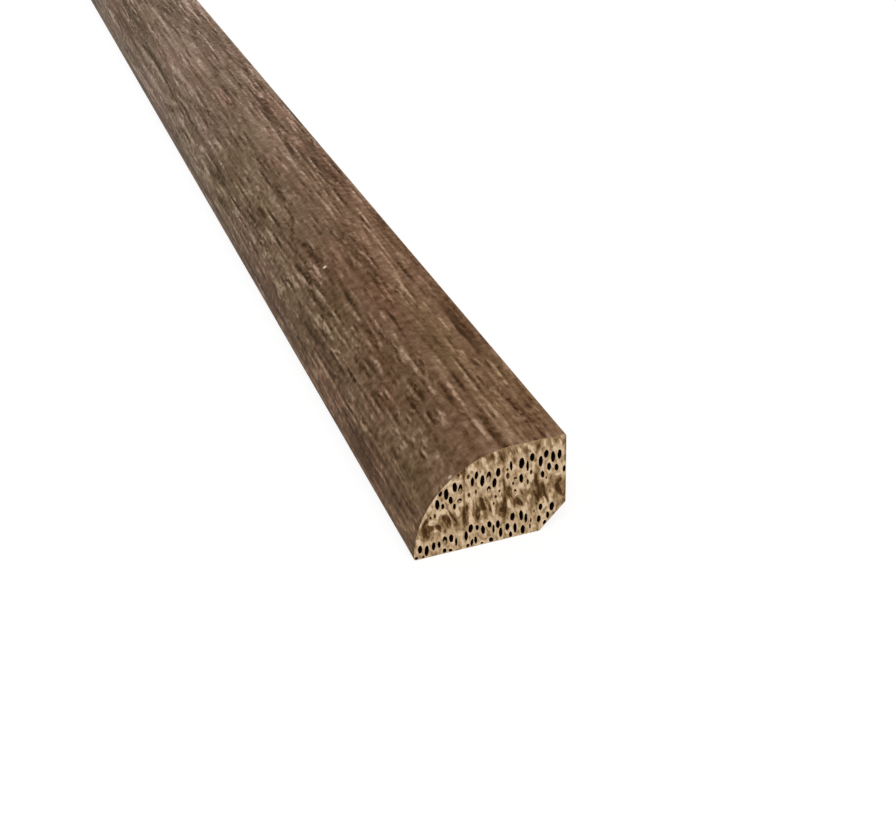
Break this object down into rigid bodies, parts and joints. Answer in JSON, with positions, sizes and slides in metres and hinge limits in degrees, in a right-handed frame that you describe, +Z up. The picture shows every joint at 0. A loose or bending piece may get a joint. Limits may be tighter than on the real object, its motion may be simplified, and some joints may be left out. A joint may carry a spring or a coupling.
{
  "type": "shoe moulding",
  "caption": "Straight stick of stained bamboo shoe moulding: quarter-round show face, flat bottom and back with a bevelled corner, to cover the joint between floor and skirting.",
  "frame": {"origin": "under the middle of the stick, on the surface that its wide flat lies on", "axes": "+X from the toe of the round to the plumb back, +Y along the stick, +Z up from the wide flat to the narrow flat top"},
  "size_m": [0.019, 1.8288, 0.0127],
  "materials": {
    "stained_bamboo": "satin umber stain over brushed bamboo on the round and the top; raw pale bamboo on the cut ends, the back, the bevel and the bottom"
  },
  "bodies": {
    "root": {"shoe_moulding": "stained_bamboo"}
  },
  "joints": []
}
